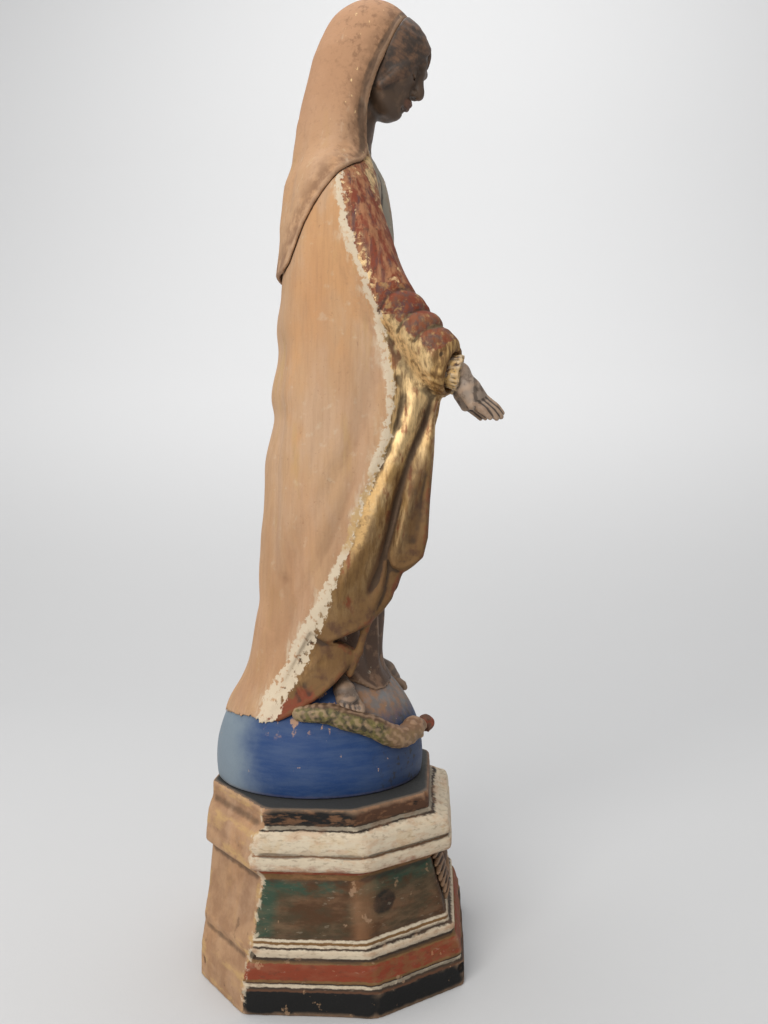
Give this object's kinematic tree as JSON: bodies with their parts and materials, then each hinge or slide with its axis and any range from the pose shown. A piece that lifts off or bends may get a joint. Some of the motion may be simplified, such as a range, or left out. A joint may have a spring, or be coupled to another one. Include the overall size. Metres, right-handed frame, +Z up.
{
  "type": "madonna statue",
  "caption": "Standing veiled Madonna with lowered open hands, on a half globe with a serpent, on a moulded eight-sided plinth.",
  "frame": {"origin": "middle of the plinth's foot, on the surface that the statue stands on", "axes": "+Z up, the figure faces -Y, and its right hand is on the -X side"},
  "size_m": [0.12, 0.1192, 0.3998],
  "materials": {
    "painted_clay": "fired clay with worn black, white, red, green and gold paint",
    "wood": "plain turned softwood",
    "blue_paint": "matt blue paint on clay, chipped at the hem",
    "plaster": "plain plaster",
    "green_paint": "dark green and olive paint, worn along the ridge",
    "red_bole": "red-brown paint",
    "silver_paint": "dulled silver-grey paint turning brown below",
    "flesh_paint": "darkened flesh paint, slightly glossy",
    "bare_clay": "bare peach terracotta with worn red bole and gold leaf along the front",
    "gold_leaf": "worn gold leaf over red bole",
    "iron": "dark iron wire"
  },
  "bodies": {
    "plinth": {"plinth": "painted_clay", "plinth_ornament": "painted_clay", "seat_peg": "wood"},
    "figure": {"globe": "blue_paint", "globe_plug": "plaster", "serpent": "green_paint", "apple": "red_bole", "robe": "silver_paint", "right_foot": "flesh_paint", "left_foot": "flesh_paint", "mantle": "bare_clay", "veil": "bare_clay", "head": "flesh_paint", "neck_dowel": "wood", "right_cuff": "gold_leaf", "left_cuff": "gold_leaf", "right_hand": "flesh_paint", "left_hand": "flesh_paint", "right_hand_pin": "iron", "left_hand_pin": "iron"}
  },
  "joints": [
    {"name": "figure_lift", "type": "slide", "parent": "plinth", "child": "figure", "axis": [0, 0, 1], "range_m": [0, 0.04]}
  ]
}
